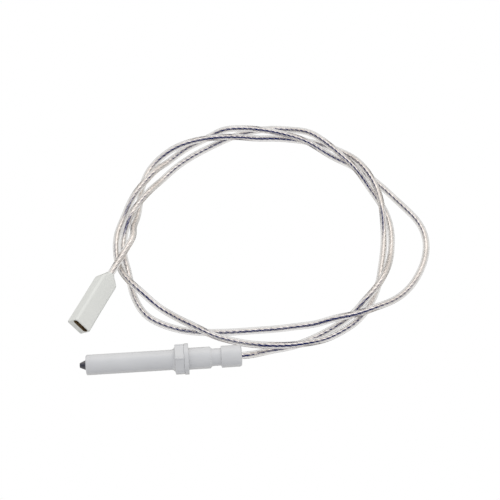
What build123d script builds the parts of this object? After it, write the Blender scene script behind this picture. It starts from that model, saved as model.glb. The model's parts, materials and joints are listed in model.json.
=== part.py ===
"""Ignition electrode for a gas burner, with its high-voltage lead.

A slim ceramic insulator carries the spark pin, a long clear-jacketed lead leaves its rear end in a
loose coil of nearly three turns, and the free end carries a 4.8 mm tab receptacle in a sliding boot.

Frame: origin on the insulator's axis at the front face of its flange, +X along the axis towards the
lead, +Z up.  The insulator lies level and everything rests on the plane z = TABLE_Z.
Units are millimetres.
"""
import os
from math import cos, radians, sin

from build123d import *

# ---------------------------------------------------------------- ceramic insulator
NOSE_LENGTH = 28.4          # flange front face to the nose face
NOSE_DIA = 6.5
NOSE_EDGE = 0.6             # chamfer round the nose face
ROOT_FILLET = 1.35          # concave root between nose barrel and flange
HEX_FLATS = 9.4             # locating hexagon, across flats
HEX_LENGTH = 2.9
COLLAR_DIA = 10.0           # round collar behind the hexagon
COLLAR_LENGTH = 1.4
REAR_DIA = 7.0
REAR_BARREL_END = 11.1      # X where the barrel starts to taper into the clip groove
GROOVE_DIA = 5.6            # groove for the retaining clip
GROOVE_START = 11.8
GROOVE_END = 14.7
REAR_END = 21.3             # X of the rear face
REAR_EDGE = 0.9             # rounded rear edge
PIN_BORE_DIA = 2.66
LEAD_BORE_DIA = 3.2
LEAD_BORE_START = 6.0       # X where the pin bore steps up to the lead bore

# ---------------------------------------------------------------- electrode pin and its joint
PIN_DIA = 2.6
CONE_BASE_DIA = 3.3
CONE_TIP_DIA = 1.5
CONE_LENGTH = 2.0
PIN_REAR = 9.5              # X where the pin's tail ends inside the ferrule
PIN_TAIL_DIA = 1.2
PIN_TAIL_START = 6.2
SEAL_LENGTH = 1.2           # ring of sealing cement behind the nose face
SEAL_DIA = 3.8
FERRULE_DIA = 2.4
FERRULE_BORE = 1.24
FERRULE_START = 6.6
FERRULE_END = 13.2
POTTING_START = 19.4        # cement plug at the rear mouth of the bore
POTTING_SINK = 0.5          # how far the plug lies below the rear face
CLEARANCE = 0.02            # gap between cemented or crimped pieces

# ---------------------------------------------------------------- lead
LEAD_DIA = 2.3
JACKET_BORE = 1.1
CONDUCTOR_DIA = 1.0
TABLE_Z = -5.0
LAYER = 2.42                # height gained where the lead rides over itself
JACKET_START = 14.0         # X where the stripped end of the jacket begins inside the insulator
BARE_START = 10.0           # X where the bare conductor ends inside the ferrule
FLEX_GAP = 1.21             # set-back of the coil's ends from the ball-ended tails at the flex points
STRAIGHT_END = 19.5         # X where the lead stops running straight out of the insulator

# Flex point behind the insulator, and the way the lead runs down from it to the coil.
PLUG_PIVOT = (26.9, 1.75, -1.95)
PLUG_TAIL_BENDS = [(22.0, 0.05, -0.05), (24.4, 0.6, -0.75)]
COIL_ENTRY = [(29.4, 2.95, -3.0), (32.4, 3.9, -3.65)]

# The coil, as (bearing in degrees, radius in mm, layer) about COIL_CENTRE.  Layer 0 lies on the
# table, layer 1 rides over one thickness of lead.
COIL_CENTRE = (29.0, 52.0)
FIRST_TURN = [
    (-80, 48.0, 0), (-65, 47.2, 0), (-52, 47.0, 0), (-42, 47.4, 1), (-28, 48.0, 1), (-13, 48.0, 0),
    (5, 48.0, 0), (18, 47.2, 0), (24, 47.2, 0), (36, 47.2, 1), (49, 48.7, 1), (60, 51.0, 1),
    (72, 52.2, 0), (90, 48.8, 0), (105, 45.0, 0), (120, 43.0, 0), (138, 41.7, 0), (150, 41.4, 1),
    (166, 43.6, 1), (178, 45.2, 0), (188, 45.45, 0), (198, 45.8, 0), (209, 48.0, 0), (220, 49.3, 0),
]
SECOND_TURN = [
    (235, 46.5, 0), (250, 42.5, 0), (265, 40.2, 0), (280, 40.4, 0), (292, 42.2, 0), (303, 46.0, 1),
    (316, 51.4, 1), (330, 56.6, 0), (342, 59.2, 0), (353, 60.0, 0), (363, 57.8, 0), (372, 53.8, 0),
    (385, 50.6, 0), (398, 48.3, 0), (408, 46.9, 0), (421, 46.7, 1), (434, 47.6, 1), (457, 49.5, 1),
    (468, 49.0, 0), (478, 47.6, 0), (487, 46.5, 0), (498, 45.1, 1), (514, 45.4, 1), (527, 46.5, 0),
    (537, 47.6, 0), (551, 48.0, 0), (561, 47.4, 1), (569, 46.0, 1), (580, 44.0, 0),
]
THIRD_TURN = [
    (588, 43.5, 0), (599, 44.4, 1), (610, 45.7, 1), (620, 46.2, 0.7), (630, 48.3, 1.45), (640, 49.2, 1.2),
    (655, 49.7, 0.2), (670, 49.8, 0), (685, 47.9, 0), (700, 45.7, 0), (716, 45.5, 0), (728, 46.4, 1),
    (740, 48.2, 1), (754, 49.9, 1), (766, 51.0, 0), (777, 49.5, 0), (790, 47.5, 0), (805, 46.0, 0),
    (815, 45.4, 1), (830, 47.5, 1), (842, 48.8, 0.9), (854, 49.0, 0), (867, 45.7, 0), (875, 43.3, 0),
    (883, 41.9, 0), (901, 42.0, 1.3),
]

# ---------------------------------------------------------------- terminal boot and receptacle
BOOT_MOUTH = (-31.1, 15.6, -0.7)    # centre of the mouth face
BOOT_YAW = 63.0             # bearing of the boot's axis, mouth to lead
BOOT_ROLL = 48.0            # the box leans on one long edge
BOOT_WIDTH = 6.6
BOOT_DEPTH = 5.4
BOOT_LENGTH = 19.7          # straight part, mouth to shoulders
SHOULDER_LENGTH = 3.0
NECK_LENGTH = 0.4
NECK_DIA = 3.0
BOOT_EDGE = 0.5             # bevel on the long edges
SLOT_WIDTH = 5.7
SLOT_DEPTH = 2.1
SLOT_WALL = 0.55            # wall between the slot and the boot's upper face
SLOT_LENGTH = 9.8
CRIMP_BORE = 3.0
CRIMP_BORE_START = 5.0
CRIMP_BORE_END = 20.6
LEAD_EXIT_BORE = 2.42
TERMINAL_REACH = 37.5       # mouth face to the flex point of the lead, along the boot's axis

SHEET = 0.3                 # receptacle sheet thickness
RECEPTACLE_INSET = 0.7      # receptacle mouth behind the boot's mouth face
RECEPTACLE_WIDTH = 5.5
RECEPTACLE_HEIGHT = 1.9
RECEPTACLE_LENGTH = 6.4
ROLL_GAP = 1.0              # gap between the two rolled edges
RAMP_LENGTH = 2.2           # strip between the rolled box and the crimps
RAMP_WIDTH = 2.4
TAB_GAP = 0.85              # free height for the 0.8 mm tab
WIRE_CRIMP_LENGTH = 3.2
INSULATION_CRIMP_LENGTH = 2.6
CRIMP_GAP = 0.8
DETENT_DIA = 1.4            # locking dimple hole in the receptacle floor


STEP_DEGREES = 7.5          # spacing of the points the coil's centreline is drawn through
COIL_LENGTHS = 24           # edges the centreline is divided into for the sweep


def coil_point(bearing):
    """Centreline point at a winding angle: radius eased by Catmull-Rom, layer by smoothstep."""
    turns = FIRST_TURN + SECOND_TURN + THIRD_TURN
    after = next((i for i, mark in enumerate(turns) if mark[0] > bearing), len(turns) - 1)
    before = after - 1
    start, end = turns[before], turns[after]
    earlier = turns[max(before - 1, 0)]
    later = turns[min(after + 1, len(turns) - 1)]
    span = end[0] - start[0]
    t = (bearing - start[0]) / span
    start_slope = (end[1] - earlier[1]) / (end[0] - earlier[0]) * span
    end_slope = (later[1] - start[1]) / (later[0] - start[0]) * span
    radius = ((2 * t**3 - 3 * t**2 + 1) * start[1] + (t**3 - 2 * t**2 + t) * start_slope
              + (3 * t**2 - 2 * t**3) * end[1] + (t**3 - t**2) * end_slope)
    layer = start[2] + (end[2] - start[2]) * (3 * t**2 - 2 * t**3)
    return (COIL_CENTRE[0] + radius * cos(radians(bearing)),
            COIL_CENTRE[1] + radius * sin(radians(bearing)),
            TABLE_Z + LEAD_DIA / 2 + layer * LAYER)


def boot_axis_point(reach):
    """Point on the boot's axis, a distance behind the centre of its mouth face."""
    return (BOOT_MOUTH[0] + reach * cos(radians(BOOT_YAW)),
            BOOT_MOUTH[1] + reach * sin(radians(BOOT_YAW)),
            BOOT_MOUTH[2])


def coil_points():
    """Every centreline point of the coil between the two flex points, ends excluded."""
    first = FIRST_TURN[0][0]
    last = THIRD_TURN[-1][0]
    count = round((last - first) / STEP_DEGREES)
    return [coil_point(first + (last - first) * i / count) for i in range(count + 1)]


def revolve_about_x(outline):
    """Turn a closed list of (x, radius) points into a solid of revolution about the X axis."""
    face = make_face(Polyline(*[(x, radius, 0) for x, radius in outline], close=True))
    return revolve(face, axis=Axis.X, revolution_arc=360)


def rod(start_x, end_x, diameter):
    """Plain cylinder along the X axis."""
    return extrude(Plane.YZ.offset(start_x) * Circle(diameter / 2), amount=end_x - start_x)


def ring(start_x, end_x, outer, inner):
    """Plain tube along the X axis."""
    return rod(start_x, end_x, outer) - rod(start_x, end_x, inner)


def along(path, diameter):
    """Round bar swept along a path."""
    section = Plane(path @ 0, z_dir=path % 0) * Circle(diameter / 2)
    return sweep(section, path=path)


# ---------------------------------------------------------------- plug: insulator, pin and seals
def make_insulator():
    """Ceramic body: nose barrel, hexagon, collar, clip groove and rear head, bored through."""
    nose = NOSE_DIA / 2
    rear = REAR_DIA / 2
    collar_end = HEX_LENGTH + COLLAR_LENGTH
    body = revolve_about_x([
        (-NOSE_LENGTH, 0), (-NOSE_LENGTH, nose - NOSE_EDGE), (-NOSE_LENGTH + NOSE_EDGE, nose),
        (HEX_LENGTH, nose), (HEX_LENGTH, COLLAR_DIA / 2), (collar_end, COLLAR_DIA / 2),
        (collar_end, rear), (REAR_BARREL_END, rear), (GROOVE_START, GROOVE_DIA / 2),
        (GROOVE_END, GROOVE_DIA / 2), (GROOVE_END, rear), (REAR_END, rear), (REAR_END, 0),
    ])
    hexagon = RegularPolygon(HEX_FLATS / 2, 6, major_radius=False)
    body += extrude(Plane.YZ * hexagon, amount=HEX_LENGTH)
    root = [e for e in body.edges().filter_by(GeomType.CIRCLE)
            if abs(e.center().X) < 0.01 and abs(e.radius - nose) < 0.01]
    body = fillet(root, ROOT_FILLET)
    rim = [e for e in body.edges().filter_by(GeomType.CIRCLE) if abs(e.center().X - REAR_END) < 0.01]
    body = fillet(rim, REAR_EDGE)
    body -= rod(-NOSE_LENGTH - 1, REAR_END + 1, PIN_BORE_DIA)
    body -= rod(-NOSE_LENGTH - 1, SEAL_LENGTH - NOSE_LENGTH, SEAL_DIA)
    body -= rod(LEAD_BORE_START, REAR_END + 1, LEAD_BORE_DIA)
    return body


def make_pin():
    """Spark pin: blunt cone in front of the nose, long shank, thin tail inside the ferrule."""
    tip = -NOSE_LENGTH - CONE_LENGTH
    return revolve_about_x([
        (tip, 0), (tip, CONE_TIP_DIA / 2), (-NOSE_LENGTH, CONE_BASE_DIA / 2), (-NOSE_LENGTH, PIN_DIA / 2),
        (PIN_TAIL_START, PIN_DIA / 2), (PIN_TAIL_START, PIN_TAIL_DIA / 2), (PIN_REAR, PIN_TAIL_DIA / 2),
        (PIN_REAR, 0),
    ])


def make_nose_seal():
    """Ring of cement sealing the pin into the nose."""
    return ring(-NOSE_LENGTH, SEAL_LENGTH - NOSE_LENGTH, SEAL_DIA - 2 * CLEARANCE, PIN_DIA + 2 * CLEARANCE)


def make_ferrule():
    """Crimped sleeve joining the pin's tail to the conductor."""
    return ring(FERRULE_START, FERRULE_END, FERRULE_DIA, FERRULE_BORE)


def make_potting():
    """Cement plug round the lead in the rear mouth of the insulator."""
    outer = LEAD_BORE_DIA - 2 * CLEARANCE
    return ring(POTTING_START, REAR_END - POTTING_SINK, outer, LEAD_DIA + 2 * CLEARANCE)


# ---------------------------------------------------------------- lead
def plug_tail_path(start_x):
    """Straight run inside the insulator, then the bend down to the flex point."""
    points = [(STRAIGHT_END, 0, 0), *PLUG_TAIL_BENDS, PLUG_PIVOT]
    bend = Spline(*points, tangents=[(1, 0, 0), flex_direction()], tangent_scalars=[1, 1])
    return Wire([Line((start_x, 0, 0), (STRAIGHT_END, 0, 0)), bend])


def flex_direction():
    """Direction of the lead through the flex point behind the insulator."""
    return (Vector(*COIL_ENTRY[0]) - Vector(*PLUG_TAIL_BENDS[-1])).normalized()


def boot_direction():
    """Direction of the boot's axis, mouth to lead."""
    return Vector(*boot_axis_point(1)) - Vector(*boot_axis_point(0))


def coil_path():
    """Centreline of the coil between the two flex points, set back from each."""
    start = Vector(*PLUG_PIVOT) + flex_direction() * FLEX_GAP
    end = Vector(*boot_axis_point(TERMINAL_REACH + FLEX_GAP))
    points = [start, *COIL_ENTRY, *coil_points(), end]
    whole = Spline(*points, tangents=[flex_direction(), -boot_direction()], tangent_scalars=[1, 1])
    return Wire([whole.trim(i / COIL_LENGTHS, (i + 1) / COIL_LENGTHS) for i in range(COIL_LENGTHS)])


def terminal_tail_path(end_reach):
    """Straight run from the flex point into the boot."""
    return Wire([Line(boot_axis_point(TERMINAL_REACH), boot_axis_point(end_reach))])


def ball_ended(path, ball_centre, diameter):
    """Bar along a path with a ball at its flexing end."""
    return along(path, diameter) + Pos(*ball_centre) * Sphere(diameter / 2)


def make_tail_jacket(path, ball_centre):
    """Clear jacket of one tail, closed by a dome at the flex point."""
    return ball_ended(path, ball_centre, LEAD_DIA) - ball_ended(path, ball_centre, JACKET_BORE)


# ---------------------------------------------------------------- terminal: receptacle and boot
def boot_plane():
    """Local frame of the boot: x along its axis from the mouth, y across its width, z its depth."""
    lean = (sin(radians(BOOT_ROLL)) * sin(radians(BOOT_YAW)),
            -sin(radians(BOOT_ROLL)) * cos(radians(BOOT_YAW)),
            cos(radians(BOOT_ROLL)))
    return Plane(origin=BOOT_MOUTH, x_dir=boot_direction(), z_dir=lean)


def make_receptacle():
    """Rolled sheet receptacle for a 4.8 mm tab, with wire and insulation crimps."""
    floor_top = BOOT_DEPTH / 2 - SLOT_WALL - (SLOT_DEPTH - RECEPTACLE_HEIGHT) / 2
    middle = floor_top - RECEPTACLE_HEIGHT / 2
    box_end = RECEPTACLE_INSET + RECEPTACLE_LENGTH
    wire_start = box_end + RAMP_LENGTH
    wire_end = wire_start + WIRE_CRIMP_LENGTH
    grip_start = wire_end + CRIMP_GAP
    wire_radius = CONDUCTOR_DIA / 2 + CLEARANCE
    grip_radius = LEAD_DIA / 2 + CLEARANCE

    outer = RectangleRounded(RECEPTACLE_WIDTH, RECEPTACLE_HEIGHT, 0.9)
    inner = RectangleRounded(RECEPTACLE_WIDTH - 2 * SHEET, RECEPTACLE_HEIGHT - 2 * SHEET, 0.6)
    mouth_gap = Pos(0, -RECEPTACLE_HEIGHT / 2) * Rectangle(ROLL_GAP, 2.5 * SHEET)
    lip_height = RECEPTACLE_HEIGHT - SHEET - TAB_GAP
    lip = Pos((ROLL_GAP + SHEET) / 2, (lip_height - RECEPTACLE_HEIGHT) / 2) * Rectangle(SHEET, lip_height)
    section = outer - inner - mouth_gap + lip + mirror(lip, about=Plane.YZ)
    body = extrude(Plane.YZ.offset(RECEPTACLE_INSET) * Pos(0, middle) * section, amount=RECEPTACLE_LENGTH)
    body -= Pos(RECEPTACLE_INSET + RECEPTACLE_LENGTH / 2, 0, floor_top) * Cylinder(DETENT_DIA / 2, 1)

    body += sheet_strip([(box_end - 0.5, floor_top), (box_end, floor_top), (wire_start, wire_radius + SHEET),
                         (wire_start + 0.5, wire_radius + SHEET)], RAMP_WIDTH)
    body += sheet_strip([(wire_end - 0.4, wire_radius + SHEET), (wire_end, wire_radius + SHEET),
                         (grip_start, grip_radius + SHEET), (grip_start + 0.4, grip_radius + SHEET)],
                        ROLL_GAP)
    body -= rod(wire_start, wire_end, 2 * wire_radius) + rod(grip_start, grip_start + 1, 2 * grip_radius)
    body += ring(wire_start, wire_end, 2 * (wire_radius + SHEET), 2 * wire_radius)
    body += ring(grip_start, grip_start + INSULATION_CRIMP_LENGTH, 2 * (grip_radius + SHEET), 2 * grip_radius)
    return boot_plane().location * body


def sheet_strip(top_line, width):
    """Strip of receptacle sheet under a line of (x, z) points."""
    under = [(x, z - SHEET) for x, z in reversed(top_line)]
    outline = make_face(Polyline(*[(x, 0, z) for x, z in top_line + under], close=True))
    return extrude(outline, amount=width / 2, both=True)


def make_boot():
    """Soft box-shaped boot with tapered shoulders and a round neck."""
    body = Pos(BOOT_LENGTH / 2, 0, 0) * Box(BOOT_LENGTH, BOOT_WIDTH, BOOT_DEPTH)
    shoulder_face = Plane.YZ.offset(BOOT_LENGTH) * Rectangle(BOOT_WIDTH, BOOT_DEPTH)
    neck_face = Plane.YZ.offset(BOOT_LENGTH + SHOULDER_LENGTH) * Rectangle(NECK_DIA, NECK_DIA)
    body += loft([shoulder_face, neck_face])
    long_edges = [e for e in body.edges().filter_by(Axis.X) if e.length > BOOT_LENGTH / 2]
    body = chamfer(long_edges, BOOT_EDGE)
    neck_start = BOOT_LENGTH + SHOULDER_LENGTH - 1.2
    neck_end = BOOT_LENGTH + SHOULDER_LENGTH + NECK_LENGTH
    body += rod(neck_start, neck_end, NECK_DIA)
    slot_middle = BOOT_DEPTH / 2 - SLOT_WALL - SLOT_DEPTH / 2
    body -= Pos(SLOT_LENGTH / 2, 0, slot_middle) * Box(SLOT_LENGTH, SLOT_WIDTH, SLOT_DEPTH)
    body -= rod(CRIMP_BORE_START, CRIMP_BORE_END, CRIMP_BORE)
    body -= rod(CRIMP_BORE_END - 1, neck_end + 1, LEAD_EXIT_BORE)
    return boot_plane().location * body


# ---------------------------------------------------------------- write one STEP file per piece
box_end = RECEPTACLE_INSET + RECEPTACLE_LENGTH
bare_end = box_end + RAMP_LENGTH
jacket_end = bare_end + WIRE_CRIMP_LENGTH + CRIMP_GAP
terminal_pivot = boot_axis_point(TERMINAL_REACH)

parts = {
    "ceramic_insulator": make_insulator(),
    "electrode_pin": make_pin(),
    "nose_seal": make_nose_seal(),
    "crimp_ferrule": make_ferrule(),
    "rear_potting": make_potting(),
    "plug_tail_jacket": make_tail_jacket(plug_tail_path(JACKET_START), PLUG_PIVOT),
    "plug_tail_conductor": ball_ended(plug_tail_path(BARE_START), PLUG_PIVOT, CONDUCTOR_DIA),
    "coil_jacket": along(coil_path(), LEAD_DIA) - along(coil_path(), JACKET_BORE),
    "coil_conductor": along(coil_path(), CONDUCTOR_DIA),
    "terminal_tail_jacket": make_tail_jacket(terminal_tail_path(jacket_end), terminal_pivot),
    "terminal_tail_conductor": ball_ended(terminal_tail_path(bare_end), terminal_pivot, CONDUCTOR_DIA),
    "tab_receptacle": make_receptacle(),
    "terminal_boot": make_boot(),
}

os.makedirs("parts", exist_ok=True)
for name, shape in parts.items():
    shape.label = name
    export_step(shape, f"parts/{name}.step")
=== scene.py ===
"""Looks for the ignition electrode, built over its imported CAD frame, in metres; MM is one millimetre."""

import json
import math

import bpy
import numpy as np
from mathutils import Matrix, Vector, kdtree


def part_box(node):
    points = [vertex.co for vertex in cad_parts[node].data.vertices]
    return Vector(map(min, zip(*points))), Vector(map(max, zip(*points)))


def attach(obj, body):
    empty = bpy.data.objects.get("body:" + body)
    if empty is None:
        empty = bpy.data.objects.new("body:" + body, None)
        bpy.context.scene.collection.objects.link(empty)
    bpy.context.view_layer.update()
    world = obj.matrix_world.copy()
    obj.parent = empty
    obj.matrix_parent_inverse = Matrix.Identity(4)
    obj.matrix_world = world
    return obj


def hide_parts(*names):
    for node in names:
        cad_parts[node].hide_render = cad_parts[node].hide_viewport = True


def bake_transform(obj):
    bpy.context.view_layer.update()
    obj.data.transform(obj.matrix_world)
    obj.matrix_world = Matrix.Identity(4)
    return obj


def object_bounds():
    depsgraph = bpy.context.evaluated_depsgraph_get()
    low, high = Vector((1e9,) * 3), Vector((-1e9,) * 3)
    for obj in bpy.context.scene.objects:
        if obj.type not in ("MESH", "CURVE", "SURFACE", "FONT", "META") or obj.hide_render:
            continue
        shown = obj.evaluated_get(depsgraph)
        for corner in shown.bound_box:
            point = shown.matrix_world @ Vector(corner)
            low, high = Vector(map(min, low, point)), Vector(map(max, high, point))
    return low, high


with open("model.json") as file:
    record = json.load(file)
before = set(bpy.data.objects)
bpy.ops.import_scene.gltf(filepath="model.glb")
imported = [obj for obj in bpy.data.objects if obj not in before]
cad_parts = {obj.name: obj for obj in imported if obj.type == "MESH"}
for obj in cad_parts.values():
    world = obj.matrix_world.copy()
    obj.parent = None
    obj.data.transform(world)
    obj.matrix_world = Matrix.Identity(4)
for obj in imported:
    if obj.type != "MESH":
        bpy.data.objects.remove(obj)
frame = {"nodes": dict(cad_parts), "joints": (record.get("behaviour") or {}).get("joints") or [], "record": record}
cad_low, cad_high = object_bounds()

MM = 0.001

# The lead.
JACKET_RADIUS = 1.15 * MM
BORE_RADIUS = 0.52 * MM
CONDUCTOR_RADIUS = 0.5 * MM
STRAND_COUNT = 6
STRAND_RADIUS = 0.30 * MM       # the strands are pressed together, so they overlap
STRAND_RING = 0.19 * MM         # from the conductor's axis to a strand's middle
STRAND_LAY = 12.5 * MM          # length of one full twist
SAMPLE_STEP = 0.5 * MM          # spacing of the samples along the centreline
WALK_STRIDE = 1.0 * MM          # step in following the CAD conductor's axis
WALK_LIMIT = 5000               # steps; ends a walk that would go round for ever
SMOOTHING = 2.0                 # samples; evens out the mesh's facets in the centreline
PLUG_CUT_RANGE = (6 * MM, 24 * MM)          # where the lead's pieces may meet, along it from each flex point
TERMINAL_CUT_RANGE = (-30 * MM, -10 * MM)
SAME_TURN = 40 * MM             # lead nearer than this along its length is the same turn
END_ANGLE = math.radians(60)    # edges sharper than this, the cut ends, are shaded as edges

# Ceramic insulator, in millimetres: places along its axis from the hexagon's front face, and radii.
NOSE_FACE = -28.4
REAR_FACE = 21.3
HEX_END = 2.9
COLLAR_END = 4.3
BARREL_END = 11.0
GROOVE_START = 11.95
GROOVE_END = 14.45
HEAD_START = 14.72
NOSE_RADIUS = 3.25
HEX_APOTHEM = 4.7
HEX_CORNER = 0.45
COLLAR_RADIUS = 5.0
REAR_RADIUS = 3.5
GROOVE_RADIUS = 2.8
LEAD_BORE_RADIUS = 1.6
LEAD_BORE_START = 6.0
PIN_BORE_RADIUS = 1.33
SEAL_BORE_RADIUS = 1.9
SEAL_LENGTH = 1.2
NOSE_EDGE = 0.45                # roundings
ROOT_FILLET = 1.35
FLANGE_EDGE = 0.14
BARREL_EDGE = 0.2
HEAD_EDGE = 0.15
REAR_EDGE = 0.9

# Boot, in millimetres: places behind its mouth, and sizes across it.
BOOT_WIDTH = 6.6
BOOT_DEPTH = 5.4
BOOT_ROLL = math.radians(48)
SLOT_WIDTH = 5.7
SLOT_DEPTH = 2.1
SLOT_CENTRE = 1.1               # height of the slot's middle above the boot's axis
LIP_WIDTH = 5.64                # the slot narrows slightly just inside the mouth
LIP_DEPTH = 2.02
CHAMBER_START = 5.0             # from here the cavity is deeper, round the crimps
CHAMBER_END = 9.8
CHAMBER_DEPTH = 3.65
CHAMBER_CENTRE = 0.325
CRIMP_BORE = 3.0
CRIMP_BORE_END = 20.6
EXIT_BORE = 2.42

# Camera: the view is from in front and above, slightly from the left.
CAMERA_ELEVATION = math.radians(52.0)
CAMERA_AZIMUTH = math.radians(-4.2)
CAMERA_DISTANCE = 433.8 * MM
CAMERA_LENS = 90.0
AIM_OFFSET = Vector((-0.2, -2.3, 0.0)) * MM     # framing: aim point from the middle of the object's footprint

# Studio. Mirrors see a warm far side and a dark blue side behind the camera, which gives the lead its stripe.
WORLD_COLOUR = (0.985, 0.99, 1.0)
WORLD_STRENGTH = 0.75
MIRRORED_FAR_SIDE = (1.5, 1.39, 1.30)
MIRRORED_CAMERA_SIDE = (0.0, 0.012, 0.17)
CAMERA_SIDE = (-0.3, -0.954, 0)         # direction of the dark side
CAMERA_SIDE_EDGE = (117, 101)           # degrees from that direction where the dark begins and is full
FLOOR_COLOUR = ((0.54, 0.54, 0.545), (0.56, 0.56, 0.565))
MIRRORED_FLOOR_BELOW = (0.85, 0.84, 0.82)
MIRRORED_FLOOR_AHEAD = (0.0, 0.012, 0.13)
MIRRORED_FLOOR_EDGE = (0.60, 0.83)      # Y of the ray's direction where the dark begins and is full
FLOOR_HALF_WIDTH = 3.0
FLOOR_GAP = 0.02 * MM                   # keeps the floor clear of the lowest point
LIGHT_OFFSET = Vector((0.1, 0.35, 0.9))
LIGHT_SIZE = 0.9
LIGHT_POWER = 1.5

# Materials.
NOISE_RANGE = (0.3, 0.7)        # noise rarely leaves this range, so colours and roughness run across it
SILICONE_IOR = 1.41
RIM_SHADE = (0.55, 0.54, 0.52)  # painted shade: what the colour of an opaque piece is multiplied by where seen edge-on, darkening its outline

view_direction = Vector((-math.sin(CAMERA_AZIMUTH) * math.cos(CAMERA_ELEVATION),
                         math.cos(CAMERA_AZIMUTH) * math.cos(CAMERA_ELEVATION), -math.sin(CAMERA_ELEVATION)))


# ---------------------------------------------------------------- mesh helpers
def mesh_object(name, verts, faces, material, smooth=True):
    """New mesh object in the scene, with one material."""
    mesh = bpy.data.meshes.new(name)
    mesh.from_pydata([tuple(v) for v in verts], [], faces)
    mesh.polygons.foreach_set("use_smooth", [smooth] * len(mesh.polygons))
    mesh.materials.append(material)
    mesh.update()
    obj = bpy.data.objects.new(name, mesh)
    bpy.context.scene.collection.objects.link(obj)
    return obj


def loft_faces(count, sides, closed, first=0):
    """Quads joining consecutive rings of the same number of points; open lofts get end caps."""
    faces = []
    for i in range(count if closed else count - 1):
        a = first + i * sides
        b = first + (i + 1) % count * sides
        for j in range(sides):
            k = (j + 1) % sides
            faces.append((a + j, a + k, b + k, b + j))
    if not closed:
        faces.append(tuple(first + j for j in reversed(range(sides))))
        faces.append(tuple(first + (count - 1) * sides + j for j in range(sides)))
    return faces


def weighted_normals(obj):
    """Flat faces stay flat-looking next to small rounded edges."""
    modifier = obj.modifiers.new("weighted_normals", "WEIGHTED_NORMAL")
    modifier.mode = "FACE_AREA"
    modifier.weight = 100


# ---------------------------------------------------------------- centreline of the lead
def axis_points(node, radius):
    """Points on the axis of a round CAD bar: each corner of its side stepped in along its normal."""
    mesh = frame["nodes"][node].data
    co = np.empty(3 * len(mesh.vertices), np.float32)
    mesh.vertices.foreach_get("co", co)
    vertex = np.empty(len(mesh.loops), np.int32)
    mesh.loops.foreach_get("vertex_index", vertex)
    normal = np.empty(3 * len(mesh.loops), np.float32)
    mesh.corner_normals.foreach_get("vector", normal)
    normal = normal.reshape(-1, 3, 3)
    corner = co.reshape(-1, 3)[vertex].reshape(-1, 3, 3)
    side = np.ptp(normal, axis=1).max(axis=1) > 1e-3        # a flat end cap's corners share one normal
    points = (corner - radius * normal)[side].reshape(-1, 3).astype(float)
    return np.unique(points.round(5), axis=0)


def walk(points, start, stride):
    """Points in order along a thin cloud, beginning with the one nearest start."""
    tree = kdtree.KDTree(len(points))
    for i, p in enumerate(points):
        tree.insert(p, i)
    tree.balance()
    here = tree.find(start)[0]
    near = [co for co, _, _ in tree.find_range(here, 2 * stride)]
    heading = (sum(near, Vector()) / len(near) - here).normalized()
    route = [here]
    while len(route) < WALK_LIMIT:
        found = [co for co, _, _ in tree.find_range(here + heading * stride, 0.7 * stride)]
        if not found:
            break
        ahead = sum(found, Vector()) / len(found)
        heading = (ahead - here).normalized()
        here = ahead
        route.append(here)
    return np.array(route)


def arc_length(points):
    """Distance of each point from the first, along the points."""
    return np.concatenate([[0], np.cumsum(np.linalg.norm(np.diff(points, axis=0), axis=1))])


def resample(points, step):
    """Evenly spaced points along a polyline."""
    s = arc_length(points)
    even = np.linspace(0, s[-1], round(s[-1] / step) + 1)
    return np.column_stack([np.interp(even, s, points[:, i]) for i in range(3)])


def smooth(points, width):
    """Gaussian smoothing along a line, the ends held in place."""
    reach = int(4 * width)
    kernel = np.exp(-0.5 * (np.arange(-reach, reach + 1) / width) ** 2)
    kernel /= kernel.sum()
    before = 2 * points[0] - points[reach:0:-1]
    after = 2 * points[-1] - points[-2:-reach - 2:-1]
    padded = np.vstack([before, points, after])
    return np.column_stack([np.convolve(padded[:, i], kernel, mode="valid") for i in range(3)])


def transport_frames(points):
    """Tangent and two normals at each point, the normals carried along without twisting."""
    tangent = np.gradient(points, axis=0)
    tangent /= np.linalg.norm(tangent, axis=1)[:, None]
    side = np.empty_like(points)
    side[0] = np.cross(tangent[0], (0, 1, 0))
    for i in range(len(points)):
        if i:
            side[i] = side[i - 1]
        side[i] -= side[i].dot(tangent[i]) * tangent[i]
        side[i] /= np.linalg.norm(side[i])
    return tangent, side, np.cross(tangent, side)


def reach_into_boot(node):
    """How far a node reaches from the terminal's flex point towards the boot's mouth."""
    return max((v.co - terminal_pivot).dot(-boot_axis) for v in frame["nodes"][node].data.vertices)


joints = {j["name"]: j for j in frame["joints"]}
plug_pivot = Vector(joints["plug_swing"]["pos_m"])
terminal_pivot = Vector(joints["terminal_swing"]["pos_m"])
boot_axis = Vector(joints["boot_slide"]["axis"]).normalized()

plug_line = axis_points("plug_tail_conductor", CONDUCTOR_RADIUS)
plug_line = plug_line[plug_line[:, 0].argsort()]
coil_line = walk(axis_points("coil_conductor", CONDUCTOR_RADIUS), plug_pivot, WALK_STRIDE)
tail_end = terminal_pivot - boot_axis * reach_into_boot("terminal_tail_conductor")
route = np.vstack([plug_line, plug_pivot, coil_line, terminal_pivot, tail_end])
lead = smooth(resample(route, SAMPLE_STEP), SMOOTHING)
lead_length = arc_length(lead)
lead_tangent, lead_side, lead_up = transport_frames(lead)


def nearest(point):
    """Index of the lead sample nearest a point."""
    return int(np.linalg.norm(lead - np.array(point), axis=1).argmin())


def samples(distance):
    """A distance along the lead as a number of samples."""
    return round(distance / SAMPLE_STEP)


def crossing(low, high):
    """Sample between two where another turn best covers the lead, seen from the camera."""
    view = np.array(view_direction)
    flat = lead - np.outer(lead @ view, view)
    span = samples(SAME_TURN)
    best = []
    for i in range(low, high):
        others = np.r_[0:max(i - span, 0), i + span:len(lead)]
        covering = others[(lead[others] - lead[i]) @ view < 0]
        best.append(np.linalg.norm(flat[covering] - flat[i], axis=1).min())
    return low + int(np.argmin(best))


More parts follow.
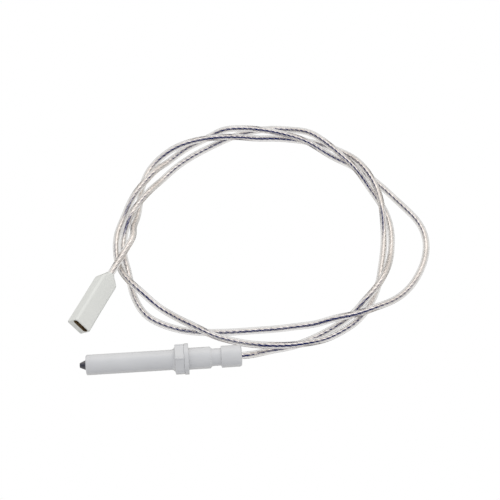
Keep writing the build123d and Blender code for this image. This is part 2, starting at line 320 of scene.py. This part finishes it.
at_plug = nearest(plug_pivot)
at_terminal = nearest(terminal_pivot)
plug_cut = crossing(*(at_plug + samples(d) for d in PLUG_CUT_RANGE))
terminal_cut = crossing(*(at_terminal + samples(d) for d in TERMINAL_CUT_RANGE))
jacket_first = int(np.argmax(lead[:, 0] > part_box("plug_tail_jacket")[0].x))
jacket_last = at_terminal + samples(reach_into_boot("terminal_tail_jacket"))


# ---------------------------------------------------------------- materials
def node_material(name):
    """Empty node material: (material, adder of nodes, linker, output node)."""
    material = bpy.data.materials.new(name)
    material.use_nodes = True
    tree = material.node_tree
    tree.nodes.clear()
    output = tree.nodes.new("ShaderNodeOutputMaterial")
    return material, tree.nodes.new, tree.links.new, output


def noise_value(add, link, scale, detail=3.0, stretch=(1, 1, 1)):
    """Noise over the object's own coordinates, as a 0 to 1 socket."""
    place = add("ShaderNodeTexCoord")
    mapping = add("ShaderNodeMapping")
    mapping.inputs["Scale"].default_value = stretch
    noise = add("ShaderNodeTexNoise")
    noise.inputs["Scale"].default_value = scale
    noise.inputs["Detail"].default_value = detail
    link(place.outputs["Object"], mapping.inputs["Vector"])
    link(mapping.outputs["Vector"], noise.inputs["Vector"])
    return noise.outputs["Fac"]


def ramp(add, link, value, low, high, start=NOISE_RANGE[0], end=NOISE_RANGE[1]):
    """Colour running from low to high as value goes from start to end."""
    node = add("ShaderNodeValToRGB")
    node.color_ramp.elements[0].position = start
    node.color_ramp.elements[0].color = (*low, 1)
    node.color_ramp.elements[1].position = end
    node.color_ramp.elements[1].color = (*high, 1)
    link(value, node.inputs["Fac"])
    return node.outputs["Color"]


def spread(add, link, value, low, high):
    """Number running from low to high as value goes across the noise's range."""
    node = add("ShaderNodeMapRange")
    node.inputs["From Min"].default_value = NOISE_RANGE[0]
    node.inputs["From Max"].default_value = NOISE_RANGE[1]
    node.inputs["To Min"].default_value = low
    node.inputs["To Max"].default_value = high
    link(value, node.inputs["Value"])
    return node.outputs["Result"]


def bump(add, link, value, depth):
    """Normal socket from a height value; depth in metres."""
    node = add("ShaderNodeBump")
    node.inputs["Strength"].default_value = 1.0
    node.inputs["Distance"].default_value = depth
    link(value, node.inputs["Height"])
    return node.outputs["Normal"]


def edge_on(add, link, amount, start, end):
    """0 where the surface is seen face-on, rising to amount where it is seen edge-on: the mask of the painted rim
    shade.
    """
    facing = add("ShaderNodeLayerWeight")
    facing.inputs["Blend"].default_value = 0.5
    return ramp(add, link, facing.outputs["Facing"], (0, 0, 0), (amount, amount, amount), start, end)


def colour_mix(add, link, factor, below, above, blend_type="MIX"):
    """Colour going from below to above as factor goes from 0 to 1; each is a colour or a socket."""
    node = add("ShaderNodeMix")
    node.data_type = "RGBA"
    node.blend_type = blend_type
    factor_socket, below_socket, above_socket = (node.inputs[i] for i in (0, 6, 7))
    link(factor, factor_socket)
    for socket, value in ((below_socket, below), (above_socket, above)):
        if isinstance(value, tuple):
            socket.default_value = (*value, 1)
        else:
            link(value, socket)
    return node.outputs[2]


def shader_mix(add, link, factor, first, second):
    """Shader going from first to second as factor goes from 0 to 1."""
    node = add("ShaderNodeMixShader")
    link(factor, node.inputs["Fac"])
    link(first, node.inputs[1])
    link(second, node.inputs[2])
    return node.outputs["Shader"]


def surface(name, low, high, roughness, scale, bump_scale, bump_depth,
            metallic=0.0, stretch=(1, 1, 1), painted_rim_shade=0.0, **extra):
    """Principled material that varies with noise; its colour is darkened where it is seen edge-on, a painted shade
    along its outline.
    """
    material, add, link, output = node_material(name)
    shader = add("ShaderNodeBsdfPrincipled")
    patches = noise_value(add, link, scale, 3.0, stretch)
    grain = noise_value(add, link, bump_scale, 4.0, stretch)
    colour = ramp(add, link, patches, low, high)
    # painted shade: the colour is multiplied towards RIM_SHADE where the surface is seen edge-on
    shaded = colour_mix(add, link, edge_on(add, link, painted_rim_shade, 0.6, 0.95), colour, RIM_SHADE, "MULTIPLY")
    link(shaded, shader.inputs["Base Color"])
    link(spread(add, link, grain, roughness[0], roughness[1]), shader.inputs["Roughness"])
    link(bump(add, link, grain, bump_depth), shader.inputs["Normal"])
    shader.inputs["Metallic"].default_value = metallic
    for socket, value in extra.items():
        shader.inputs[socket.replace("_", " ")].default_value = value
    link(shader.outputs["BSDF"], output.inputs["Surface"])
    return material


def jacket_material(name, low, high, painted_rim_shade, milk_share):
    """Clear silicone rubber with a slight haze, darker where seen edge-on, a painted shade along its outline.
    Light passes through it.
    """
    material, add, link, output = node_material(name)
    haze = noise_value(add, link, 260.0, 2.0)
    # painted shade: the tint turns to the rim colour where the jacket is seen edge-on
    tint = colour_mix(add, link, edge_on(add, link, 1, 0.42, 0.72), ramp(add, link, haze, low, high), painted_rim_shade)
    glass = add("ShaderNodeBsdfRefraction")
    glass.inputs["IOR"].default_value = SILICONE_IOR
    link(tint, glass.inputs["Color"])
    link(spread(add, link, haze, 0.02, 0.06), glass.inputs["Roughness"])
    shine = add("ShaderNodeBsdfGlossy")
    shine.inputs["Roughness"].default_value = 0.12
    link(bump(add, link, haze, 0.00002), shine.inputs["Normal"])
    milk = add("ShaderNodeBsdfDiffuse")
    milk.inputs["Color"].default_value = (0.80, 0.78, 0.76, 1)
    milkiness = spread(add, link, haze, 0.6 * milk_share, 1.4 * milk_share)
    body = shader_mix(add, link, milkiness, glass.outputs["BSDF"], milk.outputs["BSDF"])
    fresnel = add("ShaderNodeFresnel")
    fresnel.inputs["IOR"].default_value = SILICONE_IOR
    coated = shader_mix(add, link, fresnel.outputs["Fac"], body, shine.outputs["BSDF"])
    clear = add("ShaderNodeBsdfTransparent")
    clear.inputs["Color"].default_value = (0.95, 0.95, 0.95, 1)
    shadow = add("ShaderNodeLightPath").outputs["Is Shadow Ray"]
    link(shader_mix(add, link, shadow, coated, clear.outputs["BSDF"]), output.inputs["Surface"])
    return material


def bonded_material(name, low, high):
    """Inner face of the jacket, bonded to the conductor: light crosses it without bending."""
    material, add, link, output = node_material(name)
    clear = add("ShaderNodeBsdfTransparent")
    link(ramp(add, link, noise_value(add, link, 260.0, 2.0), low, high), clear.inputs["Color"])
    link(clear.outputs["BSDF"], output.inputs["Surface"])
    return material


# The jacket's rim colour is painted shade along its outline.
clear_silicone = jacket_material("clear_silicone", (0.88, 0.875, 0.87), (0.93, 0.925, 0.92),
                                 painted_rim_shade=(0.72, 0.70, 0.68), milk_share=0.015)
bore_silicone = bonded_material("bonded_bore", (0.97, 0.97, 0.97), (1.0, 1.0, 1.0))
tinned_copper = surface("tinned_copper", (0.80, 0.79, 0.78), (0.90, 0.89, 0.88), roughness=(0.06, 0.14),
                        scale=900.0, bump_scale=2500.0, bump_depth=0.000004, metallic=1.0)
# The ceramic's outline is darkened where seen edge-on: painted shade.
ceramic = surface("white_ceramic", (0.735, 0.738, 0.745), (0.77, 0.773, 0.78), roughness=(0.28, 0.42),
                  scale=160.0, bump_scale=900.0, bump_depth=0.00001,
                  painted_rim_shade=0.7, Coat_Weight=0.28, Coat_Roughness=0.18)
# The boot's outline is darkened where seen edge-on: painted shade.
boot_rubber = surface("translucent_silicone", (0.90, 0.905, 0.86), (0.94, 0.945, 0.90),
                      roughness=(0.55, 0.70), scale=110.0, bump_scale=1400.0, bump_depth=0.000018,
                      painted_rim_shade=0.8, Specular_IOR_Level=0.15)
# Painted shade: the boot's slot and bores are coloured dark brown, as if in shadow, tinted like the brass inside.
cavity_painted_shade = surface("cavity_painted_shade", (0.17, 0.11, 0.05), (0.26, 0.18, 0.09), roughness=(0.6, 0.8),
                      scale=300.0, bump_scale=1400.0, bump_depth=0.000018)
pin_steel = surface("pin_steel", (0.10, 0.10, 0.105), (0.22, 0.22, 0.225), roughness=(0.35, 0.55),
                    scale=500.0, bump_scale=2600.0, bump_depth=0.00001, metallic=0.6, stretch=(1, 4, 4))
brass = surface("brass", (0.55, 0.38, 0.15), (0.72, 0.53, 0.25), roughness=(0.22, 0.4),
                scale=700.0, bump_scale=3000.0, bump_depth=0.000006, metallic=1.0)
nickel = surface("ferrule_nickel", (0.55, 0.54, 0.52), (0.66, 0.65, 0.63), roughness=(0.25, 0.4),
                 scale=600.0, bump_scale=3000.0, bump_depth=0.000006, metallic=1.0)
cement = surface("cement", (0.55, 0.53, 0.50), (0.68, 0.66, 0.63), roughness=(0.75, 0.95),
                 scale=1200.0, bump_scale=3500.0, bump_depth=0.00004)


# ---------------------------------------------------------------- the lead, a jacket over six pressed strands
def ring_about(i, radius, angles):
    """Points round the lead's centreline at one sample; radius is one distance or one for each angle."""
    around = np.outer(np.cos(angles), lead_side[i]) + np.outer(np.sin(angles), lead_up[i])
    return lead[i] + np.reshape(radius, (-1, 1)) * around


def make_jacket(name, first, last, sides=24):
    """Tube from one sample to another: out along its outside and back along its bore."""
    angles = np.linspace(0, 2 * math.pi, sides, endpoint=False)
    outside = [ring_about(i, JACKET_RADIUS, angles) for i in range(first, last + 1)]
    bore = [ring_about(i, BORE_RADIUS, angles) for i in range(last, first - 1, -1)]
    rings = np.array(outside + bore)
    tube = mesh_object(name, rings.reshape(-1, 3), loft_faces(len(rings), sides, True), clear_silicone)
    tube.data.materials.append(bore_silicone)
    tube.data.set_sharp_from_angle(angle=END_ANGLE)
    inner = len(outside) * sides
    for face in tube.data.polygons:
        face.material_index = int(max(face.vertices) >= inner)
    return tube


def strand_section(steps):
    """Radii and angles round a conductor of pressed strands, each strand a lobe of so many steps."""
    half = math.pi / STRAND_COUNT
    angles = np.linspace(-half, half, steps, endpoint=False)
    lobe = STRAND_RING * np.cos(angles) + np.sqrt(STRAND_RADIUS ** 2 - (STRAND_RING * np.sin(angles)) ** 2)
    return np.tile(lobe, STRAND_COUNT), np.concatenate([angles + 2 * k * half for k in range(STRAND_COUNT)])


def make_strands(name, first, last, steps=8):
    """Strands twisted and pressed into one round conductor, closed at both ends."""
    radius, angles = strand_section(steps)
    rings = np.array([ring_about(i, radius, angles + 2 * math.pi * lead_length[i] / STRAND_LAY)
                      for i in range(first, last + 1)])
    bar = mesh_object(name, rings.reshape(-1, 3), loft_faces(len(rings), len(radius), False), tinned_copper)
    bar.data.set_sharp_from_angle(angle=END_ANGLE)
    return bar


plug_jacket = make_jacket("plug_lead_jacket", jacket_first, plug_cut)
coil_jacket = make_jacket("coil_lead_jacket", plug_cut, terminal_cut)
terminal_jacket = make_jacket("terminal_lead_jacket", terminal_cut, jacket_last)
plug_strands = make_strands("plug_lead_strands", 0, plug_cut)
coil_strands = make_strands("coil_lead_strands", plug_cut, terminal_cut)
terminal_strands = make_strands("terminal_lead_strands", terminal_cut, len(lead) - 1)

for piece in (plug_jacket, plug_strands):
    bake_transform(piece)
for piece in (terminal_jacket, terminal_strands):
    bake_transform(piece)
for piece in (coil_jacket, coil_strands):
    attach(piece, "lead")
for piece, node in ((plug_jacket, "plug_tail_jacket"), (plug_strands, "plug_tail_conductor"),
                    (coil_jacket, "coil_jacket"), (coil_strands, "coil_conductor"),
                    (terminal_jacket, "terminal_tail_jacket"), (terminal_strands, "terminal_tail_conductor")):
    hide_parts(node)


# ---------------------------------------------------------------- ceramic insulator
def hexagon_radius(angle):
    """Distance from the axis to a hexagon with rounded corners, one flat facing down."""
    from_flat = (angle + math.pi / 2 + math.pi / 6) % (math.pi / 3) - math.pi / 6
    flat = HEX_APOTHEM / math.cos(from_flat)
    corner_centre = (HEX_APOTHEM - HEX_CORNER) / math.cos(math.pi / 6)
    off = math.pi / 6 - abs(from_flat)
    if HEX_CORNER <= corner_centre * math.sin(off):
        return flat
    beyond = math.sqrt(HEX_CORNER ** 2 - (corner_centre * math.sin(off)) ** 2)
    return min(flat, corner_centre * math.cos(off) + beyond)


def arc_profile(centre_x, centre_r, radius, start, end, steps):
    """(x, radius) points along an arc, angles in degrees from the +x direction towards larger radius."""
    return [(centre_x + radius * math.cos(math.radians(start + (end - start) * i / steps)),
             centre_r + radius * math.sin(math.radians(start + (end - start) * i / steps)))
            for i in range(steps + 1)]


def ceramic_outline():
    """(x, radius, share of the hexagon) over the surface from nose to rear, then back along the bore."""
    nose = [(NOSE_FACE + 0.02, SEAL_BORE_RADIUS + 0.02), (NOSE_FACE, SEAL_BORE_RADIUS + 0.1)]
    nose += [(NOSE_FACE, NOSE_RADIUS - 0.65)]
    nose += arc_profile(NOSE_FACE + NOSE_EDGE, NOSE_RADIUS - NOSE_EDGE, NOSE_EDGE, 180, 90, 5)
    nose += [(x, NOSE_RADIUS) for x in (-20, -10, -ROOT_FILLET - 0.1)]
    nose += arc_profile(-ROOT_FILLET, NOSE_RADIUS + ROOT_FILLET, ROOT_FILLET, -90, -12, 7)
    nose += [(0.0, 4.45)]
    hexagon = [(0.0, HEX_APOTHEM - FLANGE_EDGE), (0.05, HEX_APOTHEM - 0.04)]
    hexagon += [(x, HEX_APOTHEM) for x in (FLANGE_EDGE, 1.5, HEX_END - FLANGE_EDGE)]
    hexagon += [(HEX_END - 0.03, HEX_APOTHEM - 0.05)]
    collar = [(HEX_END, 4.5), (HEX_END, COLLAR_RADIUS - FLANGE_EDGE)]
    collar += [(HEX_END + 0.05, COLLAR_RADIUS - 0.04), (HEX_END + FLANGE_EDGE, COLLAR_RADIUS)]
    collar += arc_profile(COLLAR_END - FLANGE_EDGE, COLLAR_RADIUS - FLANGE_EDGE, FLANGE_EDGE, 90, 0, 3)
    barrel = [(COLLAR_END, REAR_RADIUS + 0.25)]
    barrel += arc_profile(COLLAR_END + BARREL_EDGE, REAR_RADIUS + BARREL_EDGE, BARREL_EDGE, 180, 270, 3)
    barrel += [(7.5, REAR_RADIUS), (BARREL_END, REAR_RADIUS)]
    barrel += arc_profile(BARREL_END, REAR_RADIUS - BARREL_EDGE, BARREL_EDGE, 70, 45, 2)
    groove = [(GROOVE_START - 0.2, GROOVE_RADIUS + 0.06)]
    groove += [(x, GROOVE_RADIUS) for x in (GROOVE_START, 13.2, GROOVE_END)]
    groove += [(GROOVE_END + 0.2, GROOVE_RADIUS + 0.12)]
    head = [(HEAD_START, REAR_RADIUS - 0.2)]
    head += arc_profile(HEAD_START + HEAD_EDGE, REAR_RADIUS - HEAD_EDGE, HEAD_EDGE, 180, 90, 3)
    head += [(17.5, REAR_RADIUS)]
    head += arc_profile(REAR_FACE - REAR_EDGE, REAR_RADIUS - REAR_EDGE, REAR_EDGE, 90, 0, 7)
    bore = [(REAR_FACE, LEAD_BORE_RADIUS + 0.3), (REAR_FACE - 0.05, LEAD_BORE_RADIUS + 0.06)]
    bore += [(REAR_FACE - 0.2, LEAD_BORE_RADIUS), (LEAD_BORE_START + 0.05, LEAD_BORE_RADIUS)]
    bore += [(LEAD_BORE_START, LEAD_BORE_RADIUS - 0.05), (LEAD_BORE_START, PIN_BORE_RADIUS + 0.02)]
    seal_end = NOSE_FACE + SEAL_LENGTH
    bore += [(LEAD_BORE_START - 0.1, PIN_BORE_RADIUS), (seal_end + 0.05, PIN_BORE_RADIUS)]
    bore += [(seal_end, PIN_BORE_RADIUS + 0.03), (seal_end, SEAL_BORE_RADIUS - 0.03)]
    bore += [(seal_end - 0.1, SEAL_BORE_RADIUS)]
    stretches = ((nose, 0.0), (hexagon, 1.0), (collar + barrel + groove + head + bore, 0.0))
    return [(x, radius, share) for points, share in stretches for x, radius in points]


def make_ceramic():
    """Turned body with a hexagonal flange: a ring of points for each point of its outline."""
    outline = ceramic_outline()
    offsets = (-30, -22, -14, -8, -5, -3.4, -1.7, 0, 1.7, 3.4, 5, 8, 14, 22)    # degrees
    angles = [math.radians(60 * k + offset) for k in range(6) for offset in offsets]
    verts = []
    for x, round_radius, share in outline:
        for a in angles:
            radius = round_radius + share * (hexagon_radius(a) - HEX_APOTHEM)
            verts.append(Vector((x, radius * math.cos(a), radius * math.sin(a))) * MM)
    faces = loft_faces(len(outline), len(angles), True)
    body = mesh_object("ceramic_body", verts, [tuple(reversed(f)) for f in faces], ceramic)
    weighted_normals(body)
    return body


ceramic_body = make_ceramic()
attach(ceramic_body, "plug")
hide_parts("ceramic_insulator")


# ---------------------------------------------------------------- boot
def rounded_section(x, width, depth, corner, rise=0.0, steps=6):
    """Rounded rectangle across the boot at distance x behind its mouth."""
    points = []
    for quarter, (sy, sz) in enumerate(((1, 1), (-1, 1), (-1, -1), (1, -1))):
        for i in range(steps + 1):
            a = math.pi / 2 * (quarter + i / steps)
            points.append((x, sy * (width / 2 - corner) + corner * math.cos(a),
                           rise + sz * (depth / 2 - corner) + corner * math.sin(a)))
    return points


def make_boot():
    """Moulded boot: outside from the collar to the mouth, then back through the slot and the bore."""
    w, d = BOOT_WIDTH, BOOT_DEPTH
    # Each section is its distance behind the mouth, width, depth and corner radius.
    outside = [rounded_section(*section) for section in (
        (23.1, 2.7, 2.7, 1.32), (23.04, 2.9, 2.9, 1.42), (22.9, 3.0, 3.0, 1.46), (22.65, 3.1, 3.08, 1.3),
        (21.4, 4.5, 4.02, 0.9), (20.1, 6.1, 5.05, 0.85), (19.7, 6.48, 5.32, 0.8), (19.2, w, d, 0.8),
        (12.0, w - 0.06, d - 0.04, 0.8), (5.0, w - 0.03, d - 0.02, 0.8),
        (0.3, w, d, 0.75), (0.1, w - 0.08, d - 0.08, 0.7), (0.0, w - 0.3, d - 0.3, 0.6),
    )]
    # The sections inside also have a height above the boot's axis.
    inside = [rounded_section(*section) for section in (
        (0.0, SLOT_WIDTH + 0.02, SLOT_DEPTH + 0.02, 0.95, SLOT_CENTRE),
        (0.1, LIP_WIDTH, LIP_DEPTH, 0.9, SLOT_CENTRE),
        (0.4, LIP_WIDTH, LIP_DEPTH, 0.9, SLOT_CENTRE),
        (0.5, SLOT_WIDTH, SLOT_DEPTH, 0.3, SLOT_CENTRE),
        (CHAMBER_START - 0.1, SLOT_WIDTH, SLOT_DEPTH, 0.3, SLOT_CENTRE),
        (CHAMBER_START, SLOT_WIDTH, CHAMBER_DEPTH, 0.3, CHAMBER_CENTRE),
        (CHAMBER_END, SLOT_WIDTH, CHAMBER_DEPTH, 0.3, CHAMBER_CENTRE),
        (CHAMBER_END + 0.1, CRIMP_BORE, CRIMP_BORE, 1.47),
        (CRIMP_BORE_END - 0.1, CRIMP_BORE, CRIMP_BORE, 1.47),
        (CRIMP_BORE_END, EXIT_BORE, EXIT_BORE, 1.19),
        (23.0, EXIT_BORE, EXIT_BORE, 1.19),
        (23.08, EXIT_BORE + 0.08, EXIT_BORE + 0.08, 1.23),
    )]
    rings = outside + inside
    yaw = math.atan2(boot_axis.y, boot_axis.x)
    tilt = math.sin(BOOT_ROLL)
    lean = Vector((tilt * math.sin(yaw), -tilt * math.cos(yaw), math.cos(BOOT_ROLL)))
    across = lean.cross(boot_axis)
    place = Matrix((boot_axis, across, lean)).transposed()
    mouth = Vector(next(m for m in frame["record"]["mounts"] if m["name"] == "tab_slot")["pos_m"])
    verts = [mouth + place @ (Vector(p) * MM) for ring in rings for p in ring]
    sides = len(rings[0])
    faces = [tuple(reversed(f)) for f in loft_faces(len(rings), sides, True)]
    boot = mesh_object("moulded_boot", verts, faces, boot_rubber)
    # the inside faces take the dark brown painted shade
    boot.data.materials.append(cavity_painted_shade)
    cavity = len(outside) * sides
    for face in boot.data.polygons:
        face.material_index = int(min(face.vertices) >= cavity)
    weighted_normals(boot)
    return boot


boot = make_boot()
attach(boot, "boot")
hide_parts("terminal_boot")

# ---------------------------------------------------------------- finishes on the CAD nodes that stay
FINISHES = {
    "electrode_pin": pin_steel,
    "nose_seal": cement,
    "crimp_ferrule": nickel,
    "rear_potting": cement,
    "tab_receptacle": brass,
}
for node, finish in FINISHES.items():
    slots = frame["nodes"][node].data.materials
    slots.clear()
    slots.append(finish)


# ---------------------------------------------------------------- floor, light and camera
def make_floor():
    """Plain white floor: white to the eye and through the jacket, softly lit for the rest.

    Mirrors see it pale below them and dark on the camera's side.
    """
    material, add, link, output = node_material("floor_white")
    grain = noise_value(add, link, 40.0)
    matt = add("ShaderNodeBsdfDiffuse")
    link(ramp(add, link, grain, *FLOOR_COLOUR), matt.inputs["Color"])
    glow = add("ShaderNodeEmission")
    glow.inputs["Color"].default_value = (1, 1, 1, 1)
    path = add("ShaderNodeLightPath")
    seen = add("ShaderNodeMath")
    seen.operation = "MAXIMUM"
    link(path.outputs["Is Camera Ray"], seen.inputs[0])
    link(path.outputs["Is Transmission Ray"], seen.inputs[1])
    plain = shader_mix(add, link, seen.outputs["Value"], matt.outputs["BSDF"], glow.outputs["Emission"])
    incoming = add("ShaderNodeSeparateXYZ")
    link(add("ShaderNodeNewGeometry").outputs["Incoming"], incoming.inputs[0])
    mirrored = add("ShaderNodeEmission")
    shade = ramp(add, link, incoming.outputs["Y"], MIRRORED_FLOOR_BELOW, MIRRORED_FLOOR_AHEAD,
                 *MIRRORED_FLOOR_EDGE)
    link(shade, mirrored.inputs["Color"])
    link(shader_mix(add, link, path.outputs["Glossy Depth"], plain, mirrored.outputs["Emission"]),
         output.inputs["Surface"])
    reach = FLOOR_HALF_WIDTH
    z = cad_low.z - FLOOR_GAP
    corners = [(-reach, -reach, z), (reach, -reach, z), (reach, reach, z), (-reach, reach, z)]
    mesh_object("floor", corners, [(0, 1, 2, 3)], material, False)


def make_world():
    """White studio. Mirrors see a dark camera side and a warm far side."""
    world = bpy.data.worlds.new("studio")
    bpy.context.scene.world = world
    world.use_nodes = True
    tree = world.node_tree
    tree.nodes.clear()
    add, link = tree.nodes.new, tree.links.new
    output = add("ShaderNodeOutputWorld")
    towards_camera_side = add("ShaderNodeVectorMath")
    towards_camera_side.operation = "DOT_PRODUCT"
    towards_camera_side.inputs[1].default_value = CAMERA_SIDE
    link(add("ShaderNodeTexCoord").outputs["Generated"], towards_camera_side.inputs[0])
    edge = add("ShaderNodeMapRange")
    edge.interpolation_type = "SMOOTHSTEP"
    begins, full = CAMERA_SIDE_EDGE
    edge.inputs["From Min"].default_value = math.cos(math.radians(begins))
    edge.inputs["From Max"].default_value = math.cos(math.radians(full))
    link(towards_camera_side.outputs["Value"], edge.inputs["Value"])
    mirrored = colour_mix(add, link, edge.outputs["Result"], MIRRORED_FAR_SIDE, MIRRORED_CAMERA_SIDE)
    glossy = add("ShaderNodeLightPath").outputs["Is Glossy Ray"]
    colour = colour_mix(add, link, glossy, WORLD_COLOUR, mirrored)
    background = add("ShaderNodeBackground")
    background.inputs["Strength"].default_value = WORLD_STRENGTH
    link(colour, background.inputs["Color"])
    link(background.outputs["Background"], output.inputs["Surface"])


def area_light(name, position, target, size, power):
    """Large soft square light aimed at a point."""
    data = bpy.data.lights.new(name, "AREA")
    data.size = size
    data.energy = power
    light = bpy.data.objects.new(name, data)
    light.location = position
    light.rotation_mode = "QUATERNION"
    light.rotation_quaternion = (target - position).to_track_quat("-Z", "Y")
    bpy.context.scene.collection.objects.link(light)


middle = (cad_low + cad_high) / 2
aim = Vector((middle.x, middle.y, cad_low.z)) + AIM_OFFSET
camera_data = bpy.data.cameras.new("camera")
camera_data.lens = CAMERA_LENS
camera_data.sensor_width = 36.0
camera_data.clip_start = 0.01
camera_data.clip_end = 20.0
camera = bpy.data.objects.new("camera", camera_data)
camera.location = aim - view_direction * CAMERA_DISTANCE
camera.rotation_mode = "QUATERNION"
camera.rotation_quaternion = view_direction.to_track_quat("-Z", "Y")
bpy.context.scene.collection.objects.link(camera)
bpy.context.scene.camera = camera
bpy.context.scene.view_settings.view_transform = "Standard"

make_floor()
make_world()
area_light("overhead", middle + LIGHT_OFFSET, middle, LIGHT_SIZE, LIGHT_POWER)
